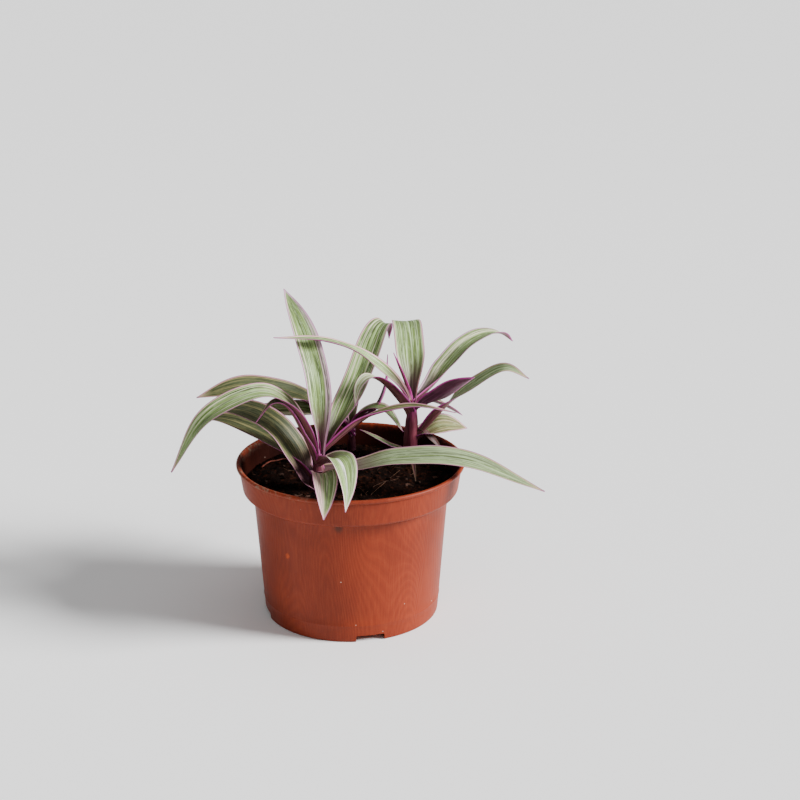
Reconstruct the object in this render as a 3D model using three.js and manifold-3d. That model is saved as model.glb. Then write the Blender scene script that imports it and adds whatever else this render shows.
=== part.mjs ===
// A potted tradescantia: three young rosettes with striped, purple-backed leaves in a 12 cm nursery
// pot of peat mix. Millimetres, +Z up. The origin is the middle of the whole plant's bounding box,
// on the surface that the pot stands on.
import * as THREE from "three";
import { mergeVertices } from "three/addons/utils/BufferGeometryUtils.js";
import Module from "manifold-3d";

const wasm = await Module();
wasm.setup();

const gap = 0.3; // clearance between neighbouring pieces

const pot = {
  lipRadius: 60,
  height: 83.6,
  collarHeight: 15.4,
  collarBottomRadius: 56.5,
  bodyTopRadius: 51.4,
  baseRadius: 46.1,
  wall: 1.3,
  lipBead: 1.1,
  lipNeck: 2.4, // height of the hollow below the lip
  collarRound: 3,
  footRound: 0.8,
  floorHeight: 4,
  floorRound: 1,
  footWidth: 2.6,
  footNotches: 4,
  notchWidth: 15,
  notchHeight: 3.6,
  notchTurn: 13.6,
  drainHoles: 6,
  drainHoleRadius: 4,
  drainCircleRadius: 30,
  drainHoleSides: 12,
  sides: 64,
};

const mix = {
  surfaceHeight: 72,
  edgeDrop: 0.8,
  lumpHeight: 1.1,
  lumpsFade: [44, 54], // radii between which the lumps die out
  rings: 7,
  sides: 40,
};

const blade = {
  thickness: 0.7,
  stations: 11,
  baseFold: 66, // degrees that each half of a blade stands up where it sheathes the stem
  midFold: 17,
  foldEnds: 0.42, // share of the length over which the blade opens
  baseWidth: 0.5, // share of the full width
  widest: 0.34,
  taperStarts: 0.46,
  tipWidth: 0.9,
  rollSpan: [0.2, 0.6], // shares of the length over which a blade turns from its first roll to its second
};

const stem = {
  sides: 10,
  buried: 13,
  taper: 0.72, // radius at the crown as a share of the radius at the foot
};

// Each arch gives the midrib's way out from the stem and up from the leaf's root.
// Roll, folds and taper are a leaf's own where it differs from the usual blade.
// Heading 0 points to the right, 90 to the back, 180 to the left and 270 to the front.
const rosettes = [
  {
    name: "plant_left",
    colour: 0x6f8468,
    foot: [-18, -13, 69],
    crown: [-15, -11, 94],
    radius: 4.4,
    leaves: [
      { root: 88, heading: 115, arch: [[0, 21], [3, 43], [20, 64], [46, 80]], width: 14, taper: 0.6 },
      { root: 88, heading: 57, arch: [[15, 12], [38, 31], [60, 50], [72, 54.5], [80, 50], [84, 42]],
        width: 15.5, sway: -12, roll: [5, 10], taper: 0.62 },
      { root: 82, heading: 193, arch: [[8, 24], [17, 39], [32, 44], [58, 32], [76, 5]], width: 15,
        roll: [0, -18], taper: 0.58 },
      { root: 73, heading: 168, arch: [[6, 4.5], [11, 16.5], [20, 29.5], [32, 37], [46, 39.5], [58, 35]],
        width: 19, roll: [-26, -14], baseFold: 30, taper: 0.6 },
      { root: 74, heading: 155, arch: [[11, 11], [28, 21.5], [44, 26.5], [58, 28], [69, 24.5]], width: 15,
        roll: [0, -12], taper: 0.6 },
      { root: 90, heading: 10, arch: [[13, 11], [26, 20], [49, 24], [72, 19]], width: 7,
        roll: [-42, 4] },
      { root: 82, heading: -10, arch: [[21, 3], [43, 9], [77, 10], [118, -4]], width: 15,
        roll: [16, 22], baseFold: 24 },
      { root: 84, heading: 301, arch: [[12, 7], [26, 13], [38, 12.5], [48, 5.5], [54, -4]], width: 16.5,
        sway: 14.5, roll: [0, -8], taper: 0.44 },
      { root: 76, heading: 284, arch: [[12, 7], [26, 14], [38, 14], [47, 9], [53, 0]], width: 13.5,
        sway: 7.5, taper: 0.62 },
      { root: 82, heading: 190, arch: [[7, 19], [15, 35], [23, 38], [32, 28]], width: 10 },
      { root: 90, heading: 190, arch: [[1, 10], [3, 25]], width: 3.5 },
    ],
  },
  {
    name: "plant_right",
    colour: 0x7b8a6e,
    foot: [31, 26, 69],
    crown: [33, 24, 114],
    radius: 4,
    leaves: [
      { root: 104, heading: 95, arch: [[10, 21], [20, 32], [33, 37], [50, 33], [64, 21]], width: 16,
        midFold: 6, taper: 0.6 },
      { root: 84, heading: 225, arch: [[1, 13], [7, 24], [19, 37], [30, 43.5], [38, 40], [41, 30]],
        width: 11.5, taper: 0.52 },
      { root: 106, heading: 45, arch: [[15, 7], [26, 16], [40, 24], [55, 27], [69, 25], [80, 18]],
        width: 14, taper: 0.62 },
      { root: 102, heading: -50, arch: [[20, 13], [34, 23], [49, 31]], width: 10,
        roll: [-30, -45] },
      { root: 84, heading: -15, arch: [[5, 5], [21, 24], [36, 37], [51, 46], [64, 41]], width: 9,
        roll: [-40, 35], taper: 0.6 },
      { root: 104, heading: 208, arch: [[10, 16], [31, 35], [53, 45], [80, 50]], width: 8,
        roll: [-58, -12] },
      { root: 77, heading: 185, arch: [[9, 4], [18, 9.5], [27, 15]], width: 7 },
      { root: 82, heading: 15, arch: [[10, 7], [19, 10], [32, 7]], width: 15, roll: [0, 30] },
      { root: 100, heading: 30, arch: [[8, 6], [18, 3], [32, -6]], width: 11 },
      { root: 106, heading: 205, arch: [[5, 15], [11, 30]], width: 4 },
    ],
  },
  {
    name: "plant_back",
    colour: 0x677c60,
    foot: [-1, 44, 69],
    crown: [0, 43, 90],
    radius: 2.6,
    leaves: [
      { root: 84, heading: 176, arch: [[14, 9], [26, 17.5], [38, 24], [52, 27.5], [68, 26]], width: 13 },
      { root: 82, heading: 188, arch: [[14, 14], [25, 22], [39, 27], [60, 30], [84, 25]], width: 14,
        roll: [0, -35], taper: 0.66 },
      { root: 80, heading: 184, arch: [[9, 11], [23, 16], [40, 17], [62, 17]], width: 13,
        roll: [0, -28] },
      { root: 86, heading: -15, arch: [[3, 4], [10, 11.5], [19, 11.5], [29, 0]], width: 11 },
      { root: 86, heading: 8, arch: [[12, 9], [18.5, 23], [19.5, 41]], width: 6 },
      { root: 82, heading: 93, arch: [[8, 12], [20, 16], [36, 9], [46, -5]], width: 10 },
      { root: 80, heading: 130, arch: [[8, 10], [20, 12], [34, 4]], width: 10 },
    ],
  },
];

const { degToRad: radians, lerp, smoothstep } = THREE.MathUtils;

function solid(geometry) {
  const merged = geometry.clone();
  merged.deleteAttribute("normal");
  merged.deleteAttribute("uv");
  const welded = mergeVertices(merged, 1e-4);
  const corners = welded.index.array;
  const kept = [];
  for (let i = 0; i < corners.length; i += 3) {
    const [a, b, c] = corners.subarray(i, i + 3);
    if (a !== b && b !== c && c !== a) {
      kept.push(a, b, c);
    }
  }
  return new wasm.Manifold(
    new wasm.Mesh({
      numProp: 3,
      vertProperties: welded.attributes.position.array,
      triVerts: new Uint32Array(kept),
    }),
  );
}

function meshOf(made, name, material) {
  const result = made.getMesh();
  const geometry = new THREE.BufferGeometry();
  geometry.setAttribute("position", new THREE.BufferAttribute(result.vertProperties, 3));
  geometry.setIndex(new THREE.BufferAttribute(result.triVerts, 1));
  geometry.computeVertexNormals();
  const mesh = new THREE.Mesh(geometry, material);
  mesh.name = name;
  return mesh;
}

// A solid of revolution about Z from a profile of [radius, height] points.
function turned(profile, sides) {
  const points = profile.map(([r, z]) => new THREE.Vector2(r, z));
  return new THREE.LatheGeometry(points, sides).rotateX(Math.PI / 2);
}

const step = pot.height - pot.collarHeight; // height of the collar's lower edge
const ledge = { low: step - 0.5, high: step + 1.6 }; // the same step, seen from inside

function outerRadius(height) {
  return lerp(pot.baseRadius, pot.bodyTopRadius, height / step);
}

function collarRadius(height) {
  const up = (height - pot.height + pot.collarHeight) / pot.collarHeight;
  return lerp(pot.collarBottomRadius, pot.lipRadius - pot.lipBead, up);
}

// Points on a quarter turn or more, from one angle to another in degrees.
function arc(centreRadius, centreHeight, size, from, to, steps) {
  const points = [];
  for (let i = 0; i <= steps; i++) {
    const turn = radians(lerp(from, to, i / steps));
    points.push([centreRadius + size * Math.cos(turn), centreHeight + size * Math.sin(turn)]);
  }
  return points;
}

function makePot() {
  const corner = pot.collarRound;
  const floorTop = pot.floorHeight + pot.wall;
  const floorEdge = floorTop + pot.floorRound;
  const beadHeight = pot.height - pot.lipBead;
  const beadRadius = pot.lipRadius - pot.lipBead;
  const neck = beadHeight - pot.lipNeck;
  const footInner = pot.baseRadius - pot.footWidth;
  const profile = [
    [0, pot.floorHeight],
    [footInner, pot.floorHeight],
    [footInner, 0],
    ...arc(pot.baseRadius - pot.footRound, pot.footRound, pot.footRound, -90, 0, 2),
    [outerRadius(step - corner), step - corner],
    ...arc(collarRadius(step + corner) - corner, step + corner, corner, -70, 0, 3),
    [collarRadius(neck), neck],
    ...arc(beadRadius, beadHeight, pot.lipBead, -40, 150, 6),
    [collarRadius(beadHeight) - pot.wall, beadHeight - pot.lipBead],
    [collarRadius(ledge.high) - pot.wall, ledge.high],
    [outerRadius(ledge.low) - pot.wall, ledge.low],
    [outerRadius(floorEdge) - pot.wall, floorEdge],
    [outerRadius(floorTop) - pot.wall - pot.floorRound, floorTop],
    [0, floorTop],
  ];
  const cutDepth = 12; // more than the foot and the floor are thick
  let made = solid(turned(profile, pot.sides));
  for (let i = 0; i < pot.footNotches; i++) {
    const cut = new THREE.BoxGeometry(pot.notchWidth, cutDepth, pot.notchHeight * 2);
    cut.translate(0, -pot.baseRadius, 0);
    cut.rotateZ(radians(pot.notchTurn + (i * 360) / pot.footNotches));
    made = made.subtract(solid(cut));
  }
  for (let i = 0; i < pot.drainHoles; i++) {
    const radius = pot.drainHoleRadius;
    const cut = new THREE.CylinderGeometry(radius, radius, cutDepth, pot.drainHoleSides);
    cut.rotateX(Math.PI / 2);
    cut.translate(pot.drainCircleRadius, 0, pot.floorHeight);
    cut.rotateZ(radians((i * 360) / pot.drainHoles));
    made = made.subtract(solid(cut));
  }
  return made;
}

// The lumps of the mix, as a sum of waves that fades out at the wall.
function lump(x, y) {
  const waves = Math.sin(x * 0.31 + 1) * Math.cos(y * 0.27) + 0.6 * Math.sin(x * 0.13 - y * 0.53 + 2);
  const fade = 1 - smoothstep(Math.hypot(x, y), ...mix.lumpsFade);
  return mix.lumpHeight * waves * fade;
}

function makeMix() {
  const floorTop = pot.floorHeight + pot.wall + gap;
  const facets = 0.2; // what the wider facets of the mix need beside those of the pot
  const clear = pot.wall + gap + facets;
  const edge = collarRadius(mix.surfaceHeight) - clear;
  const profile = [
    [0, floorTop],
    [outerRadius(floorTop) - clear - pot.floorRound, floorTop],
    [outerRadius(ledge.low) - clear, ledge.low + gap],
    [collarRadius(ledge.high) - clear, ledge.high + gap + facets],
    [edge, mix.surfaceHeight - mix.edgeDrop],
  ];
  for (let i = mix.rings; i >= 0; i--) {
    profile.push([((edge - mix.edgeDrop) * i) / mix.rings, mix.surfaceHeight]);
  }
  const geometry = turned(profile, mix.sides);
  const place = geometry.attributes.position;
  for (let i = 0; i < place.count; i++) {
    const onTop = place.getZ(i) > mix.surfaceHeight - mix.edgeDrop / 2;
    if (onTop) {
      place.setZ(i, mix.surfaceHeight + lump(place.getX(i), place.getY(i)));
    }
  }
  const withHoles = (made, rosette) => made.subtract(solid(stemTube(rosette, gap)));
  return rosettes.reduce(withHoles, solid(geometry));
}

// The height's place on a rosette's stem line.
function onStem(rosette, height) {
  const foot = new THREE.Vector3(...rosette.foot);
  const crown = new THREE.Vector3(...rosette.crown);
  const share = (height - foot.z) / (crown.z - foot.z);
  return foot.lerp(crown, share);
}

function stemTube(rosette, extra) {
  const low = onStem(rosette, rosette.foot[2] - stem.buried - extra);
  const high = onStem(rosette, rosette.crown[2]);
  const radius = rosette.radius + extra;
  const tube = new THREE.CylinderGeometry(radius * stem.taper, radius, low.distanceTo(high), stem.sides);
  const along = high.clone().sub(low).normalize();
  const turn = new THREE.Quaternion().setFromUnitVectors(new THREE.Vector3(0, 1, 0), along);
  tube.applyQuaternion(turn);
  const middle = low.add(high).multiplyScalar(0.5);
  return tube.translate(middle.x, middle.y, middle.z);
}

function halfWidth(leaf, u) {
  const opening = lerp(blade.baseWidth, 1, smoothstep(u, 0, blade.widest));
  const taperStarts = leaf.taper ?? blade.taperStarts;
  const past = Math.max(0, (u - taperStarts) / (1 - taperStarts));
  return Math.max(leaf.width * opening * (1 - past * past), blade.tipWidth) / 2;
}

// One blade: a channelled strip that follows its arch, with the same triangles on both faces.
function makeLeaf(rosette, leaf) {
  const heading = radians(leaf.heading);
  const out = new THREE.Vector3(Math.cos(heading), Math.sin(heading), 0);
  const right = new THREE.Vector3(Math.sin(heading), -Math.cos(heading), 0);
  const root = onStem(rosette, leaf.root);
  const ribPoints = [[0, 0], ...leaf.arch].map(([far, up]) =>
    root.clone().addScaledVector(out, far).setZ(leaf.root + up),
  );
  const rib = new THREE.CatmullRomCurve3(ribPoints, false, "catmullrom", 0.5);
  const corners = [];
  for (let i = 0; i <= blade.stations; i++) {
    const u = i / blade.stations;
    const along = rib.getTangentAt(u);
    const [firstRoll, secondRoll] = leaf.roll ?? [0, 0];
    const roll = radians(lerp(firstRoll, secondRoll, smoothstep(u, ...blade.rollSpan)));
    const upward = right.clone().cross(along).normalize();
    const across = right.clone().applyAxisAngle(along, roll);
    upward.applyAxisAngle(along, roll);
    const middle = rib.getPointAt(u).addScaledVector(right, (leaf.sway ?? 0) * u * u);
    const opened = smoothstep(u, 0, blade.foldEnds);
    const fold = radians(lerp(leaf.baseFold ?? blade.baseFold, leaf.midFold ?? blade.midFold, opened));
    const half = halfWidth(leaf, u);
    const sides = [-1, 1].map((side) => {
      const edge = middle.clone();
      edge.addScaledVector(across, side * half * Math.cos(fold));
      edge.addScaledVector(upward, half * Math.sin(fold));
      const under = edge.clone();
      under.addScaledVector(across, side * blade.thickness * Math.sin(fold));
      under.addScaledVector(upward, -blade.thickness * Math.cos(fold));
      return { edge, under };
    });
    const keel = middle.clone().addScaledVector(upward, -blade.thickness / Math.cos(fold));
    corners.push(sides[0].edge, middle, sides[1].edge, sides[1].under, keel, sides[0].under);
  }
  const ring = 6;
  const faces = [];
  for (let i = 0; i < blade.stations; i++) {
    for (let j = 0; j < ring; j++) {
      const a = i * ring + j;
      const b = i * ring + ((j + 1) % ring);
      const turnsOver = j > 2;
      if (turnsOver) {
        faces.push(a, b, a + ring, b, b + ring, a + ring);
      } else {
        faces.push(a, b, b + ring, a, b + ring, a + ring);
      }
    }
  }
  const cap = [0, 5, 4, 0, 4, 1, 1, 4, 3, 1, 3, 2];
  const end = blade.stations * ring;
  for (let k = 0; k < cap.length; k += 3) {
    faces.push(cap[k], cap[k + 1], cap[k + 2]);
    faces.push(end + cap[k + 2], end + cap[k + 1], end + cap[k]);
  }
  const geometry = new THREE.BufferGeometry().setFromPoints(corners).setIndex(faces);
  return solid(geometry);
}

function makeRosette(rosette) {
  const start = solid(stemTube(rosette, 0));
  const joined = rosette.leaves.reduce((made, leaf) => made.add(makeLeaf(rosette, leaf)), start);
  const bodies = joined.decompose().sort((a, b) => b.volume() - a.volume());
  return bodies[0]; // without the shells of hollows that the sheaths close in
}

const terracottaPlastic = new THREE.MeshStandardMaterial({ color: 0xb4553a, roughness: 0.55 });
const peat = new THREE.MeshStandardMaterial({ color: 0x2a211c, roughness: 0.95 });

const model = new THREE.Group();
model.add(meshOf(makePot(), "pot", terracottaPlastic));
model.add(meshOf(makeMix(), "potting_mix", peat));
for (const rosette of rosettes) {
  const foliage = new THREE.MeshStandardMaterial({ color: rosette.colour, roughness: 0.5 });
  model.add(meshOf(makeRosette(rosette), rosette.name, foliage));
}

const box = new THREE.Box3().setFromObject(model);
const centre = box.getCenter(new THREE.Vector3());
model.position.set(-centre.x, -centre.y, -box.min.z);

const part = new THREE.Group();
part.add(model);
export default part;
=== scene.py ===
import math
import random

import bpy
from mathutils import Matrix, Quaternion, Vector, noise


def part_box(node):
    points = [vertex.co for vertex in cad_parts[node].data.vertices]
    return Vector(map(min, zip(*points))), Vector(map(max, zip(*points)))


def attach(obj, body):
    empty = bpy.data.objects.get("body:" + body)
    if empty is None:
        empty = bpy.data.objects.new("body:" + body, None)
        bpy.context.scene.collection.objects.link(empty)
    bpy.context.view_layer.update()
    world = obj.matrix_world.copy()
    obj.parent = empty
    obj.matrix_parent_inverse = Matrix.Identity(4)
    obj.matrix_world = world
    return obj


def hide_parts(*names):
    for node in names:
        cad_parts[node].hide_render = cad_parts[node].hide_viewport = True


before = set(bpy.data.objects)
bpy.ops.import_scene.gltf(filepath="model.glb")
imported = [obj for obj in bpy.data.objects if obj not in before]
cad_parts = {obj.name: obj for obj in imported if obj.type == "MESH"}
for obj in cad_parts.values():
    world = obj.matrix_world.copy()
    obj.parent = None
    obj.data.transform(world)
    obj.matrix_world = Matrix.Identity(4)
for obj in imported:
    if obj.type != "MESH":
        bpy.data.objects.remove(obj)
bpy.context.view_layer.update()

mm = 0.001
potLow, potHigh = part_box("pot")
potAxis = Vector(((potLow.x + potHigh.x) / 2, (potLow.y + potHigh.y) / 2, 0))
luck = random.Random(12)


def fromHex(text):
    # sRGB hex to the linear colour that a shader takes
    shares = [int(text[i:i + 2], 16) / 255 for i in (0, 2, 4)]
    linear = [s / 12.92 if s <= 0.04045 else ((s + 0.055) / 1.055) ** 2.4 for s in shares]
    return (*linear, 1)


def smooth(value, low, high):
    share = min(max((value - low) / (high - low), 0), 1)
    return share * share * (3 - 2 * share)


def mixed(first, second, share):
    return first + (second - first) * share


def inPlace(x, y, z):
    # millimetres from the middle of the pot's foot, to metres in the frame
    return potAxis + Vector((x, y, z)) * mm


def deselectAll():
    if bpy.context.object and bpy.context.object.mode != "OBJECT":
        bpy.ops.object.mode_set(mode="OBJECT")
    bpy.ops.object.select_all(action="DESELECT")


def pick(piece):
    deselectAll()
    piece.select_set(True)
    bpy.context.view_layer.objects.active = piece


def named(name):
    piece = bpy.context.object
    piece.name = name
    piece.data.name = name
    return piece


def settle(piece):
    # the place goes into the mesh, as on the frame's own pieces
    pick(piece)
    bpy.ops.object.transform_apply(location=True, rotation=True, scale=True)


def finishWith(piece, kind, **settings):
    pick(piece)
    modifier = piece.modifiers.new(kind.title(), kind)
    for name, value in settings.items():
        setattr(modifier, name, value)
    bpy.ops.object.modifier_apply(modifier=modifier.name)


def dress(piece, slot, *materials):
    for material in materials:
        piece.data.materials.append(material)
    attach(piece, "root")


def joinAll(pieces, name):
    deselectAll()
    for piece in pieces:
        piece.select_set(True)
    bpy.context.view_layer.objects.active = pieces[0]
    bpy.ops.object.join()
    return named(name)


def setNode(tree, node, settings):
    # a setting is a property of the node, or what goes into a socket: another socket, a colour or a value
    for key, value in settings.items():
        if isinstance(key, str) and hasattr(node, key):
            setattr(node, key, value)
        elif isinstance(value, bpy.types.NodeSocket):
            tree.links.new(value, node.inputs[key])
        else:
            node.inputs[key].default_value = fromHex(value) if isinstance(value, str) else value
    return node


def addNode(tree, kind, settings):
    return setNode(tree, tree.nodes.new(kind), settings)


def newMaterial(name, settings):
    material = bpy.data.materials.new(name)
    material.use_nodes = True
    tree = material.node_tree
    return material, tree, setNode(tree, tree.nodes["Principled BSDF"], settings)


def layCoats(tree, colour, coats):
    # each coat has what it follows, where it starts, where it is full, how strong it gets, and its colour
    for source, start, full, most, coat in coats:
        mask = addNode(tree, "ShaderNodeMapRange", {
            "interpolation_type": "SMOOTHSTEP", 0: source, 1: start, 2: full, 4: most}).outputs[0]
        colour = addNode(tree, "ShaderNodeMix", {
            "data_type": "RGBA", 0: mask, 6: colour, 7: coat}).outputs[2]
    return colour


view = {
    "lens": 81,
    "place": (25.94, -885.7, 413.5),
    "pitch": 18.55,
}


def setCamera():
    data = bpy.data.cameras.new("camera")
    data.lens = view["lens"]
    camera = bpy.data.objects.new("camera", data)
    bpy.context.scene.collection.objects.link(camera)
    camera.location = inPlace(*view["place"])
    camera.rotation_euler = (math.radians(90 - view["pitch"]), 0, 0)
    bpy.context.scene.camera = camera


studio = {
    "floorSize": 12,
    "floorColour": "ffffff",
    "skyColour": "ffffff",
    "skyStrength": 0.24,
    # name, kind, place in metres, side in metres or the sun's angle in degrees, power
    "lamps": [
        ("keyLamp", "SUN", (1.4, -0.27, 0.88), 22, 8.6),
        ("frontLamp", "AREA", (-0.2, -1.3, 1.2), 0.9, 4),
        ("topLamp", "AREA", (0.1, 0.25, 1.6), 1.1, 3),
    ],
}


def setStudio():
    deselectAll()
    bpy.ops.mesh.primitive_plane_add(size=studio["floorSize"], location=potAxis)
    floor = named("floor")
    settle(floor)
    # matt paper floor: no shine, so that it stays plain
    paper, _, _ = newMaterial("mattPaper", {
        "Base Color": studio["floorColour"],
        "Roughness": 1,
        "Specular IOR Level": 0.1,
    })
    floor.data.materials.append(paper)
    sky = bpy.data.worlds.new("sky")
    sky.use_nodes = True
    background = sky.node_tree.nodes["Background"]
    background.inputs["Color"].default_value = fromHex(studio["skyColour"])
    background.inputs["Strength"].default_value = studio["skyStrength"]
    bpy.context.scene.world = sky
    aim = inPlace(0, 0, 80)
    for name, kind, place, size, power in studio["lamps"]:
        data = bpy.data.lights.new(name, kind)
        data.energy = power
        if kind == "SUN":
            data.angle = math.radians(size)
        else:
            data.size = size
        lamp = bpy.data.objects.new(name, data)
        bpy.context.scene.collection.objects.link(lamp)
        lamp.location = place
        lamp.rotation_euler = (aim - lamp.location).to_track_quat("-Z", "Y").to_euler()


setCamera()
setStudio()
print("camera and light are set")


pot = {
    "sides": 160,
    "height": 83.6,
    "collarHeight": 15.4,
    "lipRadius": 60,
    "lipBead": 1.1,
    "collarBottomRadius": 56.5,
    "bodyTopRadius": 51.4,
    "baseRadius": 46.1,
    "wall": 1.3,
    "floorHeight": 4,
    "footWidth": 2.6,
    "ridgeHeight": 9.5,  # a faint line round the body above the foot
    "ridgeDepth": 0.18,
    "notches": 4,
    "notchSize": (15, 3.6),
    "notchTurn": 13.6,
    "drainHoles": 6,
    "drainHoleRadius": 4,
    "drainCircleRadius": 30,
}


def arcPoints(radius, height, size, start, end, steps):
    angles = [math.radians(mixed(start, end, i / steps)) for i in range(steps + 1)]
    return [(radius + size * math.cos(a), height + size * math.sin(a)) for a in angles]


def potOutline():
    step = pot["height"] - pot["collarHeight"]
    bead = pot["lipBead"]
    beadHeight = pot["height"] - bead
    beadRadius = pot["lipRadius"] - bead
    floorTop = pot["floorHeight"] + pot["wall"]

    def body(height):
        return mixed(pot["baseRadius"], pot["bodyTopRadius"], height / step)

    def collar(height):
        return mixed(pot["collarBottomRadius"], beadRadius, (height - step) / pot["collarHeight"])

    ridge = pot["ridgeHeight"]
    outline = [
        (pot["baseRadius"] - pot["footWidth"], pot["floorHeight"]),
        (pot["baseRadius"] - pot["footWidth"], 0.3),
        (pot["baseRadius"] - pot["footWidth"] + 0.3, 0),
    ]
    outline += arcPoints(pot["baseRadius"] - 0.9, 0.9, 0.9, -90, 0, 5)
    outline += [(body(h), h) for h in (3, 6, ridge - 0.7)]
    outline += [(body(ridge) + pot["ridgeDepth"], ridge - 0.2), (body(ridge) + pot["ridgeDepth"], ridge)]
    outline += [(body(ridge + 0.4), ridge + 0.4)]
    outline += [(body(h), h) for h in (14, 22, 32, 42, 52, 60)]
    # the body runs into the collar through a small hollow and a rounded shoulder
    outline += [(body(step - 1.6), step - 1.6), (body(step) + 0.35, step - 0.7),
                (body(step) + 1.1, step - 0.3)]
    outline += arcPoints(collar(step + 2) - 2.2, step + 2, 2.2, -78, 0, 6)
    outline += [(collar(step + h), step + h) for h in (4, 8, 11.4)]
    # the lip is a thin bead above a shallow groove
    outline += [(collar(beadHeight - 2.1) - 0.05, beadHeight - 2.1),
                (collar(beadHeight - 1.5) - 0.12, beadHeight - 1.5)]
    outline += arcPoints(beadRadius, beadHeight, bead, -48, 128, 11)
    outline += [(beadRadius - 1.25, beadHeight + 0.45), (beadRadius - 1.6, beadHeight - 0.1)]
    outline += [(collar(beadHeight - 3) - pot["wall"], beadHeight - 3)]
    outline += [(collar(step + 1.6) - pot["wall"], step + 1.6),
                (body(step - 0.5) - pot["wall"], step - 0.5)]
    outline += [(body(h) - pot["wall"], h) for h in (50, 30, floorTop + 1)]
    outline += [(body(floorTop) - pot["wall"] - 1, floorTop)]
    return outline


def buildPot():
    deselectAll()
    outline = potOutline()
    radius, height = outline[0]
    bpy.ops.mesh.primitive_circle_add(
        vertices=pot["sides"], radius=radius * mm, fill_type="NGON", location=inPlace(0, 0, height))
    piece = named("potShell")
    settle(piece)
    bpy.ops.object.mode_set(mode="EDIT")
    bpy.ops.mesh.select_all(action="SELECT")
    # the underside stays behind as the floor, and its rim is drawn round the wall
    bpy.ops.mesh.extrude_region_move(TRANSFORM_OT_translate={"value": (0, 0, 0)})
    for nextRadius, nextHeight in outline[1:]:
        scale = nextRadius / radius
        bpy.ops.transform.resize(value=(scale, scale, 1), center_override=inPlace(0, 0, height))
        bpy.ops.transform.translate(value=(0, 0, (nextHeight - height) * mm))
        radius, height = nextRadius, nextHeight
        if (nextRadius, nextHeight) != outline[-1]:
            bpy.ops.mesh.extrude_region_move(TRANSFORM_OT_translate={"value": (0, 0, 0)})
    bpy.ops.mesh.select_all(action="SELECT")
    bpy.ops.mesh.normals_make_consistent(inside=False)
    bpy.ops.object.mode_set(mode="OBJECT")
    cutPot(piece)
    pick(piece)
    bpy.ops.object.shade_smooth_by_angle(angle=math.radians(32))
    return piece


def cutPot(piece):
    cutters = []
    width, height = pot["notchSize"]
    for i in range(pot["notches"]):
        deselectAll()
        bpy.ops.mesh.primitive_cube_add(size=1, location=inPlace(0, -pot["baseRadius"], 0))
        cutter = named("notchCutter")
        cutter.scale = (width * mm, 12 * mm, height * 2 * mm)
        settle(cutter)
        bpy.ops.object.mode_set(mode="EDIT")
        bpy.ops.mesh.select_all(action="SELECT")
        bpy.ops.mesh.bevel(offset=0.9 * mm, segments=3, affect="EDGES")
        turn = math.radians(pot["notchTurn"] + i * 360 / pot["notches"])
        bpy.ops.object.mode_set(mode="OBJECT")
        turned = Matrix.Translation(potAxis) @ Matrix.Rotation(turn, 4, "Z") @ Matrix.Translation(-potAxis)
        cutter.data.transform(turned)
        cutters.append(cutter)
    for i in range(pot["drainHoles"]):
        turn = i * math.tau / pot["drainHoles"]
        circle = pot["drainCircleRadius"]
        place = inPlace(math.cos(turn) * circle, math.sin(turn) * circle, pot["floorHeight"])
        deselectAll()
        bpy.ops.mesh.primitive_cylinder_add(
            vertices=32, radius=pot["drainHoleRadius"] * mm, depth=12 * mm, location=place)
        cutter = named("drainCutter")
        settle(cutter)
        cutters.append(cutter)
    for cutter in cutters:
        finishWith(piece, "BOOLEAN", object=cutter, operation="DIFFERENCE", solver="EXACT")
    for cutter in cutters:
        bpy.data.objects.remove(cutter)


potLooks = {
    "colour": "802f18",
    "deepColour": "702714",
    "lineColour": "4f1a0e",
    "paleLineColour": "a14a28",
    # painted shade on the inner wall of the collar
    "innerWallShadeColour": "1f0a07",
    "dustColour": "85705d",
    "speckColour": "e3c9b8",
    "orangeColour": "d8561a",
    "smudgeColour": "3b2016",
    "swirlSize": (36, 36, 190),  # mm over which the loops of the flow lines wander
    "flowLines": 380,
    "fineSpacing": 0.8,
    "fineLength": 50,
    "patchSize": 30,
    "grainSize": 0.35,
    "reliefDepth": 0.06,
    # the inner wall of the collar is where the radius is less than this, after its slope is taken off
    "innerWall": (45.2, 44.9),
    "collarSlope": 0.156,
    # heights in mm of the painted shade on the inner wall: where it starts and where it is full above the
    # soil, then where it starts and where it is full below the lip
    "innerShadeHeights": (70, 70.4, 85, 80.5),
    "orangeSpot": (-32.5, -39.6, 45),
    "soilSmudge": (-5, -52, 65.5),
    "spotSize": 2.6,
}


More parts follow.
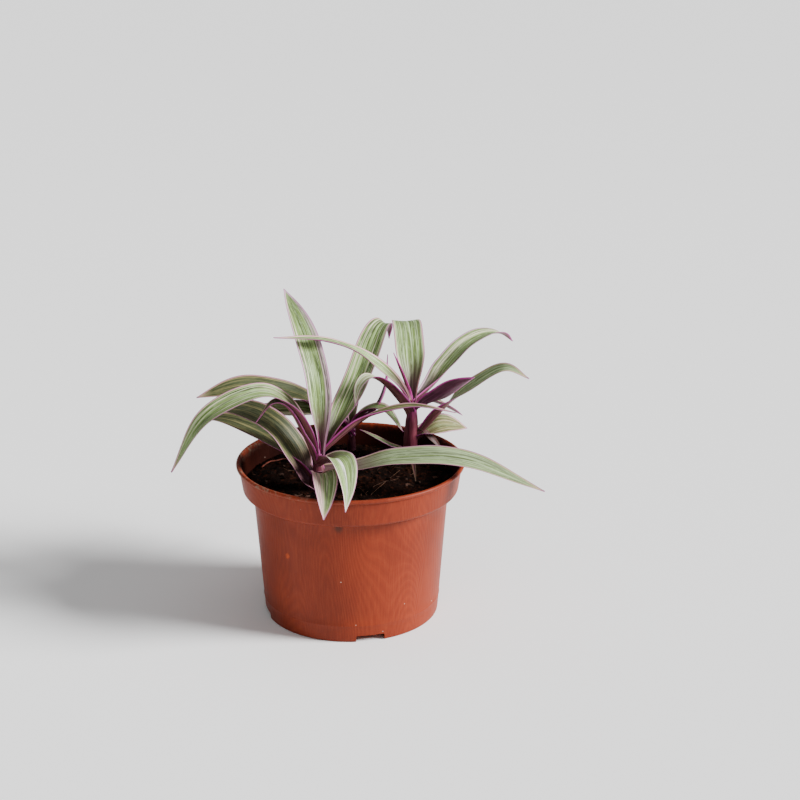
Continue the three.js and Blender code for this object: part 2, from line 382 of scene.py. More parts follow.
def polypropylene():
    # moulded polypropylene, tinted like clay: a soft sheen, loops of flow lines, soil dust along the rim
    material, tree, skin = newMaterial("mouldedPolypropylene", {"IOR": 1.49, "Specular IOR Level": 0.16})
    metres = addNode(tree, "ShaderNodeTexCoord", {}).outputs["Object"]
    # from here on in millimetres from the middle of the pot's foot
    place = addNode(tree, "ShaderNodeMapping", {"Location": -potAxis / mm, "Scale": (1 / mm,) * 3,
                                                "Vector": metres}).outputs[0]
    stretched = addNode(tree, "ShaderNodeMapping", {
        "Scale": [1 / size for size in potLooks["swirlSize"]], "Vector": place}).outputs[0]
    swirl = addNode(tree, "ShaderNodeTexNoise", {"Scale": 1, "Detail": 0.6, "Vector": stretched}).outputs[0]
    phase = addNode(tree, "ShaderNodeMath", {
        "operation": "MULTIPLY", 0: swirl, 1: potLooks["flowLines"]}).outputs[0]
    lines = addNode(tree, "ShaderNodeMath", {"operation": "SINE", 0: phase}).outputs[0]
    fine = 1 / potLooks["fineSpacing"]
    upright = addNode(tree, "ShaderNodeMapping", {"Scale": (fine, fine, 1 / potLooks["fineLength"]),
                                                  "Vector": place}).outputs[0]
    streaks = addNode(tree, "ShaderNodeTexNoise", {"Scale": 1, "Detail": 2, "Vector": upright}).outputs[0]
    patches = addNode(tree, "ShaderNodeTexNoise", {
        "Scale": 1 / potLooks["patchSize"], "Detail": 4, "Vector": place}).outputs[0]
    grain = addNode(tree, "ShaderNodeTexNoise", {
        "Scale": 1 / potLooks["grainSize"], "Detail": 2, "Vector": place}).outputs[0]
    specks = addNode(tree, "ShaderNodeTexNoise", {
        "Scale": 0.42, "Detail": 6, "Roughness": 0.7, "Vector": place}).outputs[0]
    across, _, height = addNode(tree, "ShaderNodeSeparateXYZ", {0: place}).outputs
    # painted shade darkens the inner wall of the collar from just above the soil to below the lip, and soil
    # dust lies on the lip, more to the left
    flat = addNode(tree, "ShaderNodeVectorMath", {
        "operation": "MULTIPLY", 0: place, 1: (1, 1, 0)}).outputs[0]
    radius = addNode(tree, "ShaderNodeVectorMath", {"operation": "LENGTH", 0: flat}).outputs["Value"]
    sloped = addNode(tree, "ShaderNodeMath", {
        "operation": "MULTIPLY_ADD", 0: height, 1: -potLooks["collarSlope"], 2: radius}).outputs[0]
    inside = addNode(tree, "ShaderNodeMapRange", {
        0: sloped, 1: potLooks["innerWall"][0], 2: potLooks["innerWall"][1]}).outputs[0]
    low, lowFull, high, highFull = potLooks["innerShadeHeights"]
    aboveStep = addNode(tree, "ShaderNodeMapRange", {0: height, 1: low, 2: lowFull, 4: inside}).outputs[0]
    innerShadeLine = addNode(tree, "ShaderNodeMath", {
        "operation": "MULTIPLY_ADD", 0: specks, 1: -9, 2: height}).outputs[0]
    paintedInnerShade = addNode(tree, "ShaderNodeMapRange", {
        0: innerShadeLine, 1: high - 4.5, 2: highFull - 4.5, 4: aboveStep}).outputs[0]
    leftSide = addNode(tree, "ShaderNodeMapRange", {0: across, 1: 20, 2: -55}).outputs[0]
    onLip = addNode(tree, "ShaderNodeMapRange", {0: height, 1: 78.5, 2: 83, 4: leftSide}).outputs[0]
    dust = addNode(tree, "ShaderNodeMapRange", {0: specks, 1: 0.47, 2: 0.62, 4: onLip}).outputs[0]
    wobble = addNode(tree, "ShaderNodeMath", {
        "operation": "MULTIPLY", 0: specks, 1: potLooks["spotSize"]}).outputs[0]
    spots = []
    for middle in ("orangeSpot", "soilSmudge"):
        away = addNode(tree, "ShaderNodeVectorMath", {
            "operation": "DISTANCE", 0: place, 1: potLooks[middle]}).outputs["Value"]
        spots.append(addNode(tree, "ShaderNodeMath", {"operation": "ADD", 0: away, 1: wobble}).outputs[0])
    cells = addNode(tree, "ShaderNodeTexVoronoi", {"Scale": 0.095, "Vector": place}).outputs["Distance"]
    size = potLooks["spotSize"]
    colour = layCoats(tree, potLooks["deepColour"], [
        (patches, 0.3, 0.7, 1, potLooks["colour"]),
        (lines, 0.1, 1, 0.11, potLooks["lineColour"]),
        (lines, -0.5, -1, 0.07, potLooks["paleLineColour"]),
        (streaks, 0.4, 0.75, 0.16, potLooks["paleLineColour"]),
        # painted shade on the inner wall of the collar, with a ragged upper edge
        (paintedInnerShade, 0, 1, 0.9, potLooks["innerWallShadeColour"]),
        (dust, 0, 1, 0.75, potLooks["dustColour"]),
        (spots[0], size * 1.5, size * 0.9, 0.8, potLooks["orangeColour"]),
        (spots[1], size * 1.9, size * 0.9, 0.75, potLooks["smudgeColour"]),
        (cells, 0.045, 0.02, 0.5, potLooks["speckColour"]),
    ])
    shine = addNode(tree, "ShaderNodeMapRange", {0: patches, 1: 0.3, 2: 0.7, 3: 0.42, 4: 0.52}).outputs[0]
    dulled = addNode(tree, "ShaderNodeMath", {
        "operation": "MULTIPLY_ADD", 0: dust, 1: 0.3, 2: shine}).outputs[0]
    relief = addNode(tree, "ShaderNodeMath", {
        "operation": "MULTIPLY_ADD", 0: lines, 1: 0.35, 2: streaks}).outputs[0]
    relief = addNode(tree, "ShaderNodeMath", {
        "operation": "MULTIPLY_ADD", 0: grain, 1: 0.35, 2: relief}).outputs[0]
    bump = addNode(tree, "ShaderNodeBump", {
        "Strength": 0.6, "Distance": potLooks["reliefDepth"] * mm, "Height": relief}).outputs[0]
    setNode(tree, skin, {"Base Color": colour, "Roughness": dulled, "Normal": bump})
    return material


potShell = buildPot()
dress(potShell, "terracotta_plastic", polypropylene())
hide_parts("pot")
print("pot is turned")


mix = {
    "height": 72,
    "radius": 55.2,
    # radius and height of the corners below the top
    "corners": [(54.7, 70.3), (49.5, 67.9), (44.2, 5.9)],
    "steps": 210,
    # size and height of the lumps, in mm
    "lumps": [(24, 1.4), (7, 1.1), (2.8, 0.9), (1.3, 0.5)],
    "wallDip": 1.5,
}


def mixHeight(x, y):
    reach = math.hypot(x, y)
    height = mix["height"]
    for index, (size, rise) in enumerate(mix["lumps"]):
        spot = Vector((x / size, y / size, index * 7.3))
        if index == 0:
            height += rise * noise.noise(spot)
        else:
            cell = noise.voronoi(spot)[0][0]
            height += rise * (0.45 - min(cell, 0.9) ** 2)
    inner = mix["radius"] - mix["wallDip"] * 2.5
    return height - mix["wallDip"] * smooth(reach, inner, mix["radius"]) * 0.5


def buildMix():
    deselectAll()
    bpy.ops.mesh.primitive_grid_add(
        x_subdivisions=mix["steps"], y_subdivisions=mix["steps"], size=2, location=(0, 0, 0))
    piece = named("pottingMix")
    for vertex in piece.data.vertices:
        a, b = vertex.co.x, vertex.co.y
        # the square grid is rounded into a disc
        x = a * math.sqrt(1 - b * b / 2) * mix["radius"]
        y = b * math.sqrt(1 - a * a / 2) * mix["radius"]
        vertex.co = inPlace(x, y, mixHeight(x, y))
    bpy.ops.object.mode_set(mode="EDIT")
    bpy.ops.mesh.select_all(action="SELECT")
    bpy.ops.mesh.region_to_loop()
    for radius, height in mix["corners"]:
        bpy.ops.mesh.extrude_region_move(TRANSFORM_OT_translate={"value": (0, 0, 0)})
        bpy.ops.object.mode_set(mode="OBJECT")
        for vertex in piece.data.vertices:
            if vertex.select:
                direction = (vertex.co - potAxis).to_2d().normalized()
                vertex.co = inPlace(direction.x * radius, direction.y * radius, height)
        bpy.ops.object.mode_set(mode="EDIT")
    bpy.ops.mesh.edge_face_add()
    bpy.ops.mesh.select_all(action="SELECT")
    bpy.ops.mesh.normals_make_consistent(inside=False)
    bpy.ops.object.mode_set(mode="OBJECT")
    bpy.ops.object.shade_smooth_by_angle(angle=math.radians(60))
    return piece


def peat():
    # moist milled peat: nearly black, with browner crumbs and next to no shine
    material, tree, skin = newMaterial("moistPeat", {"IOR": 1.4, "Specular IOR Level": 0.06})
    metres = addNode(tree, "ShaderNodeTexCoord", {}).outputs["Object"]
    place = addNode(tree, "ShaderNodeMapping", {"Scale": (1 / mm,) * 3, "Vector": metres}).outputs[0]
    broad = addNode(tree, "ShaderNodeTexNoise", {"Scale": 1 / 11, "Detail": 5, "Vector": place}).outputs[0]
    crumbs = addNode(tree, "ShaderNodeTexVoronoi", {"Scale": 1 / 1.6, "Vector": place})
    fine = addNode(tree, "ShaderNodeTexNoise", {"Scale": 1 / 0.5, "Detail": 3, "Vector": place}).outputs[0]
    tint = addNode(tree, "ShaderNodeSeparateXYZ", {0: crumbs.outputs["Color"]}).outputs[0]
    colour = layCoats(tree, "070403", [
        (broad, 0.35, 0.7, 1, "170a06"),
        (tint, 0.7, 0.98, 0.6, "36190d"),
        (fine, 0.62, 0.78, 0.45, "5a3624"),
    ])
    dull = addNode(tree, "ShaderNodeMapRange", {0: broad, 1: 0.4, 2: 0.62, 3: 0.75, 4: 0.95}).outputs[0]
    relief = addNode(tree, "ShaderNodeMath", {
        "operation": "ADD", 0: crumbs.outputs["Distance"], 1: fine}).outputs[0]
    bump = addNode(tree, "ShaderNodeBump", {
        "Strength": 0.9, "Distance": 0.5 * mm, "Height": relief}).outputs[0]
    setNode(tree, skin, {"Base Color": colour, "Roughness": dull, "Normal": bump})
    return material


moistPeat = peat()
pottingMix = buildMix()
dress(pottingMix, "peat", moistPeat)
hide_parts("potting_mix")

litter = {
    "crumbs": 620,
    "crumbSize": (0.35, 1.5),
    "chips": 46,
    "chipSize": (0.8, 2.2),
    "reach": 54,
    "fibres": 46,
    "fibreLength": (4, 19),
    "fibreRadius": (0.05, 0.12),
    # what lies where it can be seen: middles of lime flakes, and the routes of longer threads
    "flakeSize": (0.5, 0.9),
    "flatness": {"crumbs": 0.8, "chips": 0.35, "flakes": 0.5},  # height as a share of width
    "longFibreRadius": 0.14,
    "longFibreLift": 0.5,
    "rootletRadius": 0.4,
    "rootletLift": 1.2,
    "flakes": [(-10.4, -14.6), (-2.4, -20.2), (3.5, -30)],
    "rootlet": [(-47.8, 15), (-45.2, 24), (-41, 25.7), (-36.4, 28.7), (-33, 27)],
    "longFibres": [
        [(10.9, -23.2), (17, -8), (25.7, 12.9)],
        [(0.8, -13.4), (4.8, -13.6), (6, -16), (8.7, -24)],
    ],
}


def plainFinish(name, colour, roughness):
    # dry plant matter: matt, its colour a little uneven
    material, tree, skin = newMaterial(name, {"Roughness": roughness, "IOR": 1.4})
    metres = addNode(tree, "ShaderNodeTexCoord", {}).outputs["Object"]
    patches = addNode(tree, "ShaderNodeTexNoise", {
        "Scale": 1 / (4 * mm), "Detail": 3, "Vector": metres}).outputs[0]
    setNode(tree, skin, {"Base Color": layCoats(tree, colour, [(patches, 0.35, 0.7, 0.6, "1c0f09")])})
    return material


def lyingSpot(reach):
    turn, far = luck.uniform(0, math.tau), reach * math.sqrt(luck.random())
    return far * math.cos(turn), far * math.sin(turn)


def scatterCrumbs(name, spots, sizeRange, flatness, material):
    shapes = []
    for number in range(5):
        deselectAll()
        bpy.ops.mesh.primitive_ico_sphere_add(subdivisions=2, radius=1, location=(0, 0, 0))
        shape = named("crumbShape")
        for vertex in shape.data.vertices:
            bite = noise.noise(vertex.co * 1.3 + Vector((number * 5, 0, 0)))
            vertex.co = vertex.co * (1 + 0.55 * bite)
        shapes.append(shape)
    copies = []
    for i, (x, y) in enumerate(spots):
        mesh = shapes[i % len(shapes)].data.copy()
        size = mixed(*sizeRange, luck.random() ** 2.2) * mm
        spin = Matrix.Rotation(luck.uniform(0, math.tau), 4, "Z")
        spin = spin @ Matrix.Rotation(luck.uniform(-0.6, 0.6), 4, "X")
        stretch = Matrix.Diagonal((size, size * luck.uniform(0.5, 1), size * flatness, 1))
        mesh.transform(Matrix.Translation(inPlace(x, y, mixHeight(x, y))) @ spin @ stretch)
        crumb = bpy.data.objects.new("crumb", mesh)
        bpy.context.scene.collection.objects.link(crumb)
        copies.append(crumb)
    for shape in shapes:
        bpy.data.objects.remove(shape)
    piece = joinAll(copies, name)
    dress(piece, "peat", material)
    return piece


def layFibres(name, routes, radii, material):
    # each fibre is a thin round thread on a smooth line
    data = bpy.data.curves.new(name, "CURVE")
    data.dimensions = "3D"
    data.bevel_depth = mm
    data.bevel_resolution = 1
    data.resolution_u = 5
    data.use_fill_caps = True
    for route, radius in zip(routes, radii):
        spline = data.splines.new("NURBS")
        spline.points.add(len(route) - 1)
        for point, place in zip(spline.points, route):
            point.co = (*place, 1)
            point.radius = radius
        spline.order_u = 3
        spline.use_endpoint_u = True
    thread = bpy.data.objects.new(name, data)
    bpy.context.scene.collection.objects.link(thread)
    pick(thread)
    bpy.ops.object.convert(target="MESH")
    bpy.ops.object.shade_smooth()
    piece = named(name)
    dress(piece, "peat", material)
    return piece


def fibreRoute():
    x, y = lyingSpot(litter["reach"] - 6)
    length = mixed(*litter["fibreLength"], luck.random() ** 2)
    turn = luck.uniform(0, math.tau)
    bend = luck.uniform(-0.25, 0.25)
    route = []
    for step in range(6):
        reach = math.hypot(x, y)
        if reach > litter["reach"]:
            x, y = x * litter["reach"] / reach, y * litter["reach"] / reach
        lift = luck.uniform(0, 0.7)
        route.append(inPlace(x, y, mixHeight(x, y) + lift))
        turn += bend + luck.uniform(-0.15, 0.15)
        x += math.cos(turn) * length / 5
        y += math.sin(turn) * length / 5
    return route


barkBrown = plainFinish("barkChip", "3f2416", 0.85)
strawBrown = plainFinish("strawFibre", "5a3a26", 0.75)
rootRed = plainFinish("driedRootlet", "7a3a2a", 0.7)
limeWhite = plainFinish("limeFlake", "b8b2a4", 0.8)
crumbSpots = [lyingSpot(litter["reach"]) for _ in range(litter["crumbs"])]
scatterCrumbs("peatCrumbs", crumbSpots, litter["crumbSize"], litter["flatness"]["crumbs"], moistPeat)
chipSpots = [lyingSpot(litter["reach"]) for _ in range(litter["chips"])]
scatterCrumbs("barkChips", chipSpots, litter["chipSize"], litter["flatness"]["chips"], barkBrown)
scatterCrumbs("limeFlakes", litter["flakes"], litter["flakeSize"], litter["flatness"]["flakes"], limeWhite)
fibreRadii = [luck.uniform(*litter["fibreRadius"]) for _ in range(litter["fibres"])]
routes = [fibreRoute() for _ in fibreRadii]
for spots in litter["longFibres"]:
    routes.append([inPlace(x, y, mixHeight(x, y) + litter["longFibreLift"]) for x, y in spots])
    fibreRadii.append(litter["longFibreRadius"])
layFibres("peatFibres", routes, fibreRadii, strawBrown)
rootletRoute = [inPlace(x, y, mixHeight(x, y) + litter["rootletLift"]) for x, y in litter["rootlet"]]
layFibres("driedRootlet", [rootletRoute], [litter["rootletRadius"]], rootRed)
print("potting mix is filled in")


# Each arch gives the midrib's way out from the stem and up from the leaf's root, in millimetres.
# Heading 0 points to the right, 90 to the back, 180 to the left and 270 to the front.
rosettes = {
    "left": {
        "foot": (-18, -13, 69), "crown": (-15, -11, 94), "radius": 4.4,
        "leaves": [
            {"skin": "lilacEdged", "root": 88, "heading": 115, "width": 14, "taper": 0.6,
             "arch": [(0, 21), (3, 43), (20, 64), (46, 80)]},
            {"skin": "freshLined", "root": 88, "heading": 57, "width": 15.5, "sway": -12, "roll": (5, 10),
             "taper": 0.62, "arch": [(15, 12), (38, 31), (60, 50), (72, 54.5), (80, 50), (84, 42)]},
            {"skin": "freshLined", "root": 82, "heading": 193, "width": 15, "roll": (0, -18), "taper": 0.58,
             "footEnds": 0.4,
             "arch": [(8, 24), (17, 39), (32, 44), (58, 32), (76, 5)]},
            {"skin": "darkLined", "root": 73, "heading": 168, "width": 19,
             "roll": (-26, -14), "baseFold": 30, "taper": 0.6,
             "arch": [(6, 4.5), (11, 16.5), (20, 29.5), (32, 37), (46, 39.5), (58, 35)]},
            {"skin": "darkLined", "root": 74, "heading": 155, "width": 15, "roll": (0, -12), "taper": 0.6,
             "arch": [(11, 11), (28, 21.5), (44, 26.5), (58, 28), (69, 24.5)]},
            {"skin": "darkLined", "root": 90, "heading": 10, "width": 7, "roll": (-42, 4),
             "arch": [(13, 11), (26, 20), (49, 24), (72, 19)]},
            {"skin": "softBanded", "root": 82, "heading": -10, "width": 15,
             "roll": (16, 22), "baseFold": 24,
             "arch": [(21, 3), (43, 9), (77, 10), (118, -4)]},
            {"skin": "whiteBanded", "root": 84, "heading": 301, "width": 16.5, "sway": 14.5,
             "roll": (0, -8),
             "taper": 0.44, "arch": [(12, 7), (26, 13), (38, 12.5), (48, 5.5), (54, -4)]},
            {"skin": "pinkHalved", "root": 76, "heading": 284, "width": 13.5, "sway": 7.5, "taper": 0.62,
             "arch": [(12, 7), (26, 14), (38, 14), (47, 9), (53, 0)]},
            {"skin": "darkLined", "root": 82, "heading": 190, "width": 10,
             "arch": [(7, 19), (15, 35), (23, 38), (32, 28)]},
            {"skin": "purpleSpike", "root": 90, "heading": 190, "width": 3.5,
             "arch": [(1, 10), (3, 25)]},
        ],
    },
    "right": {
        "foot": (31, 26, 69), "crown": (33, 24, 114), "radius": 4,
        "leaves": [
            {"skin": "fineStriped", "root": 104, "heading": 95, "width": 16, "midFold": 6, "taper": 0.6,
             "arch": [(10, 21), (20, 32), (33, 37), (50, 33), (64, 21)]},
            {"skin": "creamStriped", "root": 84, "heading": 225, "width": 11.5, "taper": 0.52,
             "arch": [(1, 13), (7, 24), (19, 37), (30, 43.5), (38, 40), (41, 30)]},
            {"skin": "creamBanded", "root": 106, "heading": 45, "width": 14, "taper": 0.62,
             "arch": [(15, 7), (26, 16), (40, 24), (55, 27), (69, 25), (80, 18)]},
            {"skin": "greyGreen", "root": 102, "heading": -50, "width": 10,
             "roll": (-30, -45), "under": "darkMagenta",
             "arch": [(20, 13), (34, 23), (49, 31)]},
            {"skin": "softBanded", "root": 84, "heading": -15, "width": 9, "roll": (-40, 35), "taper": 0.6,
             "arch": [(5, 5), (21, 24), (36, 37), (51, 46), (64, 41)]},
            {"skin": "fineStriped", "root": 104, "heading": 208, "width": 8, "roll": (-58, -12),
             "arch": [(10, 16), (31, 35), (53, 45), (80, 50)]},
            {"skin": "softBanded", "root": 77, "heading": 185, "width": 7,
             "arch": [(9, 4), (18, 9.5), (27, 15)]},
            {"skin": "oliveLined", "root": 82, "heading": 15, "width": 15, "roll": (0, 30),
             "arch": [(10, 7), (19, 10), (32, 7)]},
            {"skin": "greyGreen", "root": 100, "heading": 30, "width": 11,
             "arch": [(8, 6), (18, 3), (32, -6)]},
            {"skin": "purpleSpike", "root": 106, "heading": 205, "width": 4,
             "arch": [(5, 15), (11, 30)]},
            {"skin": "driedLeaf", "root": 76, "heading": 275, "width": 2.2,
             "arch": [(8, 3), (19, 2), (33, -2)]},
            {"skin": "driedLeaf", "root": 90, "heading": -8, "width": 4, "roll": (0, 40),
             "arch": [(6, 1), (12, -4), (17, -10)]},
        ],
    },
    "back": {
        "foot": (-1, 44, 69), "crown": (0, 43, 90), "radius": 2.6,
        "leaves": [
            {"skin": "greyGreen", "root": 84, "heading": 176, "width": 13,
             "arch": [(14, 9), (26, 17.5), (38, 24), (52, 27.5), (68, 26)]},
            {"skin": "darkLined", "root": 82, "heading": 188, "width": 14, "roll": (0, -35), "taper": 0.66,
             "arch": [(14, 14), (25, 22), (39, 27), (60, 30), (84, 25)]},
            {"skin": "creamBanded", "root": 80, "heading": 184, "width": 13, "roll": (0, -28),
             "arch": [(9, 11), (23, 16), (40, 17), (62, 17)]},
            {"skin": "freshLined", "root": 86, "heading": -15, "width": 11,
             "arch": [(3, 4), (10, 11.5), (19, 11.5), (29, 0)]},
            {"skin": "purpleSpike", "root": 86, "heading": 8, "width": 6,
             "arch": [(12, 9), (18.5, 23), (19.5, 41)]},
            {"skin": "freshLined", "root": 82, "heading": 93, "width": 10,
             "arch": [(8, 12), (20, 16), (36, 9), (46, -5)]},
            {"skin": "greyGreen", "root": 80, "heading": 130, "width": 10,
             "arch": [(8, 10), (20, 12), (34, 4)]},
        ],
    },
}

blade = {
    "stations": 56,
    "strips": 14,
    "thickness": 0.7,
    "edgeThickness": 0.3,  # share of the thickness left at the margins
    "baseFold": 66,
    "midFold": 17,
    "foldEnds": 0.42,
    "baseWidth": 0.5,
    "widest": 0.34,
    "taperStarts": 0.46,
    "tipWidth": 0.5,
    "rollSpan": (0.2, 0.6),
    "channelPower": 1.5,
    "waveHeight": 0.35,
    "curveSteps": 24,
}


def curvePoint(points, part, t):
    p0, p1, p2, p3 = points[part:part + 4]
    tangent1, tangent2 = (p2 - p0) * 0.5, (p3 - p1) * 0.5
    a = 2 * p1 - 2 * p2 + tangent1 + tangent2
    b = -3 * p1 + 3 * p2 - 2 * tangent1 - tangent2
    return ((a * t + b) * t + tangent1) * t + p1


def onStem(rosette, height):
    foot, crown = Vector(rosette["foot"]), Vector(rosette["crown"])
    return foot.lerp(crown, (height - foot.z) / (crown.z - foot.z))


def midrib(rosette, leaf):
    # the arch as a smooth curve, sampled at even steps of its length, with its direction at each step
    heading = math.radians(leaf["heading"])
    out = Vector((math.cos(heading), math.sin(heading), 0))
    root = onStem(rosette, leaf["root"])
    points = [root] + [root + out * far + Vector((0, 0, up)) for far, up in leaf["arch"]]
    points = [2 * points[0] - points[1]] + points + [2 * points[-1] - points[-2]]
    dense = [curvePoint(points, part, i / blade["curveSteps"])
             for part in range(len(points) - 3) for i in range(blade["curveSteps"])]
    dense.append(points[-2])
    lengths = [0]
    for before, after in zip(dense, dense[1:]):
        lengths.append(lengths[-1] + (after - before).length)
    even = []
    spot = 0
    for i in range(blade["stations"] + 1):
        wanted = lengths[-1] * i / blade["stations"]
        while spot < len(dense) - 2 and lengths[spot + 1] < wanted:
            spot += 1
        share = (wanted - lengths[spot]) / (lengths[spot + 1] - lengths[spot])
        even.append(dense[spot].lerp(dense[spot + 1], min(share, 1)))
    directions = []
    for i in range(len(even)):
        before, after = even[max(i - 1, 0)], even[min(i + 1, len(even) - 1)]
        directions.append((after - before).normalized())
    return even, directions, lengths[-1]


def bladeWidth(leaf, u):
    opening = mixed(blade["baseWidth"], 1, smooth(u, 0, blade["widest"]))
    taperStarts = leaf.get("taper", blade["taperStarts"])
    past = max(0, (u - taperStarts) / (1 - taperStarts))
    return max(leaf["width"] * opening * (1 - past * past), blade["tipWidth"])


def buildLeaf(name, rosette, leaf, seed, faces):
    # faces: the materials of the upper face, the lower face and the margin
    deselectAll()
    stations, strips = blade["stations"], blade["strips"]
    bpy.ops.mesh.primitive_grid_add(
        x_subdivisions=stations, y_subdivisions=strips, size=2, location=(0, 0, 0))
    piece = named(name)
    heading = math.radians(leaf["heading"])
    right = Vector((math.sin(heading), -math.cos(heading), 0))
    middles, directions, length = midrib(rosette, leaf)
    firstRoll, lastRoll = leaf.get("roll", (0, 0))
    distances, leans = [], []
    for vertex in piece.data.vertices:
        u = (vertex.co.x + 1) / 2
        s = vertex.co.y
        i = round(u * stations)
        along = directions[i]
        roll = math.radians(mixed(firstRoll, lastRoll, smooth(u, *blade["rollSpan"])))
        roll += math.radians(3) * noise.noise(Vector((u * 2.3, seed, 0)))
        turn = Quaternion(along, roll)
        upward = turn @ right.cross(along).normalized()
        across = turn @ right
        half = bladeWidth(leaf, u) / 2
        opened = smooth(u, 0, blade["foldEnds"])
        baseFold = leaf.get("baseFold", blade["baseFold"])
        midFold = leaf.get("midFold", blade["midFold"])
        fold = math.radians(mixed(baseFold, midFold, opened))
        rise = abs(s) ** blade["channelPower"]
        place = middles[i] + right * leaf.get("sway", 0) * u * u
        place = place + across * (s * half * math.cos(fold)) + upward * (rise * half * math.sin(fold))
        # margins of a soft blade are never quite straight
        ripple = noise.noise(Vector((u * length / 16, 3 * math.copysign(1, s), seed)))
        place = place + upward * (ripple * blade["waveHeight"] * abs(s) ** 2 * smooth(u, 0.1, 0.4))
        vertex.co = inPlace(*place)
        distances.append((1 - abs(s)) * half)
        leans.append(mixed(1, blade["edgeThickness"], abs(s) ** 2) * mixed(1, 0.5, smooth(u, 0.6, 1)))
    fromEdge = piece.data.attributes.new("fromEdge", "FLOAT", "POINT")
    fromEdge.data.foreach_set("value", distances)
    thick = piece.vertex_groups.new(name="thick")
    for index, lean in enumerate(leans):
        thick.add([index], lean, "REPLACE")
    for material in faces:
        piece.data.materials.append(material)
    # laid on the arch, the grid faces down, so it is turned over
    bpy.ops.object.mode_set(mode="EDIT")
    bpy.ops.mesh.select_all(action="SELECT")
    bpy.ops.mesh.flip_normals()
    bpy.ops.object.mode_set(mode="OBJECT")
    finishWith(piece, "SOLIDIFY", thickness=blade["thickness"] * mm, offset=-1, vertex_group="thick",
               thickness_vertex_group=0.1, material_offset=1, material_offset_rim=2)
    finishWith(piece, "SUBSURF", levels=1, render_levels=1)
    pick(piece)
    bpy.ops.object.shade_smooth()
    return piece


# the few colours that all the leaves share
leafColours = {
    "green": "7a9250", "fresh": "8ca662", "dark": "50583a", "shadow": "323a22",
    "grey": "98a880", "olive": "8c8658",
    "mint": "bed6a0", "cream": "e2e0bc", "white": "f0eee2", "tan": "b8a684",
    "pink": "e0b4b0", "rose": "b88c84", "lilac": "d0a8bc", "mauve": "a0668a", "magenta": "be3e98",
    "maroon": "6e3e40", "wine": "5a3044", "plum": "3a1c28", "bark": "4a382c",
}

# what a blade has where its own skin says nothing else
commonSkin = {
    "ground": "green", "shade": "shadow", "pale": "mint", "margin": "pink", "rim": "mauve", "edge": 0.9,
    "foot": "wine", "tip": "tan", "lines": (3, "cream"),
}

# Lines are how many and their colour.
# A band is its middle, width and colour, the first two in shares of the blade's width.
# The left-hand side of a leaf that points to the back or to the right is at 0.
skins = {
    "lilacEdged": {"margin": "lilac", "tip": "grey", "lines": (2, "cream"), "band": (0.9, 0.2, "lilac")},
    "freshLined": {"ground": "fresh", "foot": "bark", "lines": (4, "cream")},
    "darkLined": {"ground": "dark", "pale": "olive", "margin": "rose", "lines": (3, "olive")},
    "softBanded": {"ground": "grey", "shade": "dark", "margin": "tan", "lines": (4, "green")},
    "whiteBanded": {"ground": "fresh", "shade": "dark", "margin": "cream", "lines": (2, "grey"),
                    "band": (0.55, 0.12, "white")},
    "pinkHalved": {"ground": "fresh", "shade": "dark", "lines": (3, "cream"), "band": (0.8, 0.4, "pink")},
    "fineStriped": {"shade": "dark", "tip": "grey", "lines": (6, "mint")},
    "creamStriped": {"ground": "grey", "shade": "olive", "margin": "cream", "lines": (3, "white")},
    "creamBanded": {"shade": "dark", "margin": "lilac", "lines": (3, "grey"), "band": (0.25, 0.2, "cream")},
    "greyGreen": {"pale": "grey", "margin": "rose", "lines": (3, "grey")},
    "oliveLined": {"ground": "olive", "shade": "dark", "lines": (2, "tan")},
    "purpleSpike": {"ground": "wine", "shade": "plum", "pale": "mauve", "margin": "magenta",
                    "rim": "magenta", "edge": 0.4, "foot": "mauve", "tip": "plum", "lines": (1, "mauve")},
    "driedLeaf": {"ground": "bark", "shade": "plum", "pale": "maroon", "margin": "bark", "rim": "bark",
                  "edge": 0.4, "foot": "plum", "tip": "bark", "lines": (1, "maroon")},
}

undersides = {
    "brownPurple": {"ground": "maroon", "shade": "plum", "pale": "rose", "rim": "magenta"},
    "darkMagenta": {"ground": "wine", "shade": "plum", "pale": "mauve", "rim": "magenta"},
    "driedBrown": {"ground": "bark", "shade": "plum", "pale": "maroon", "rim": "bark"},
}

striping = {
    "lineWidth": (0.03, 0.06),
    "shift": 0.25,  # how far a line may stray, as a share of the gap between lines
    "clear": 0.06,  # what is kept free beside a band
    "softness": 0.2,  # of a stripe's border, as a share of its width
    "footEnds": 0.26,
}


def namedColours(skin):
    return {key: leafColours[value] if isinstance(value, str) else value for key, value in skin.items()}


def drawnStripes(skin, seed):
    # lines lie evenly across the blade but for seeded shifts, and give way to the band
    draw = random.Random(seed)
    count, colour = skin["lines"]
    stripes = []
    for i in range(count):
        middle = (i + 0.5 + draw.uniform(-1, 1) * striping["shift"]) / count
        stripes.append((middle, draw.uniform(*striping["lineWidth"]), leafColours[colour]))
    if "band" in skin:
        place, width, bandColour = skin["band"]
        keep = width / 2 + striping["clear"]
        stripes = [stripe for stripe in stripes if abs(stripe[0] - place) > keep]
        stripes.append((place, width, leafColours[bandColour]))
    return sorted(stripes)


# how long and how wide the marks in a blade are, in mm
veins = {"fine": (42, 0.5), "streak": (34, 1), "patch": (22, 3), "mottle": (5, 1.6), "wander": (34, 12)}


def paintStripes(ramp, skin):
    # the ground shows between the stripes
    marks = [(0, skin["ground"])]
    for middle, width, colour in skin["stripes"]:
        soft = width * striping["softness"]
        marks += [(middle - width / 2 - soft, skin["ground"]), (middle - width / 2 + soft, colour),
                  (middle + width / 2 - soft, colour), (middle + width / 2 + soft, skin["ground"])]
    marks.append((1, skin["ground"]))
    elements = ramp.color_ramp.elements
    while len(elements) > 1:
        elements.remove(elements[0])
    for index, (place, colour) in enumerate(marks):
        element = elements[0] if index == 0 else elements.new(min(max(place, 0), 1))
        element.position = min(max(place, 0), 1)
        element.color = fromHex(colour)
    return ramp.outputs[0]


